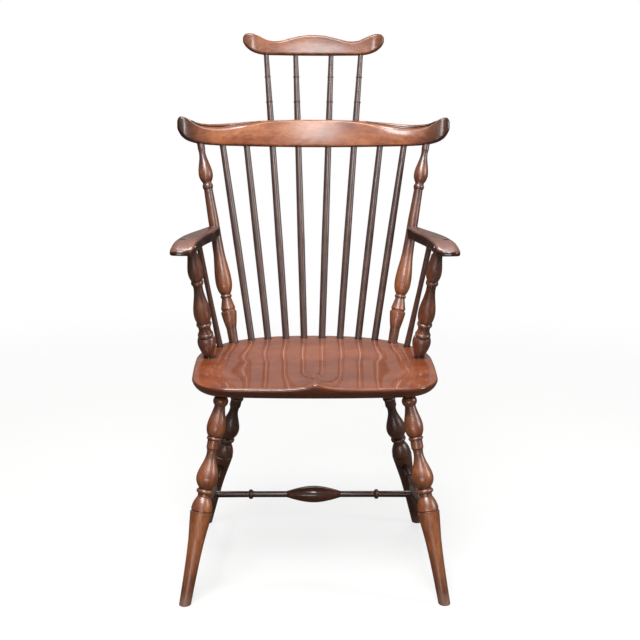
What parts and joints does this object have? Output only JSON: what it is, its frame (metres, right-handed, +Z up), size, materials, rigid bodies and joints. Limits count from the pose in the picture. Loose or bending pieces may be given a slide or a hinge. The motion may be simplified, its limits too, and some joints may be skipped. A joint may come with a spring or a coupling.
{
  "type": "windsor armchair",
  "caption": "Wooden armchair with a saddled plank seat, splayed turned legs joined by stretchers, a fan of spindles under a bent crest rail and a small comb above it.",
  "frame": {"origin": "centre of the bounding box, on the floor under the feet", "axes": "+X to the viewer's right as seen from the front, +Y from the front to the back, +Z up"},
  "size_m": [0.5942, 0.5605, 1.1092],
  "materials": {
    "seat_wood": "gloss lacquer",
    "board_wood": "gloss lacquer",
    "turned_wood": "gloss lacquer",
    "arm_wood": "gloss lacquer",
    "plug_wood": "gloss lacquer"
  },
  "bodies": {
    "root": {"seat": "seat_wood", "crest_rail": "board_wood", "comb": "board_wood", "medial_stretcher": "turned_wood", "left_arm": "arm_wood", "left_arm_peg": "plug_wood", "left_front_leg": "turned_wood", "left_rear_leg": "turned_wood", "left_side_stretcher": "turned_wood", "left_back_post": "turned_wood", "left_arm_post": "turned_wood", "left_arm_spindle": "turned_wood", "left_long_spindle_1": "turned_wood", "left_long_spindle_2": "turned_wood", "left_short_spindle_1": "turned_wood", "left_short_spindle_2": "turned_wood", "right_arm": "arm_wood", "right_arm_peg": "plug_wood", "right_front_leg": "turned_wood", "right_rear_leg": "turned_wood", "right_side_stretcher": "turned_wood", "right_back_post": "turned_wood", "right_arm_post": "turned_wood", "right_arm_spindle": "turned_wood", "right_long_spindle_1": "turned_wood", "right_long_spindle_2": "turned_wood", "right_short_spindle_1": "turned_wood", "right_short_spindle_2": "turned_wood"}
  },
  "joints": []
}
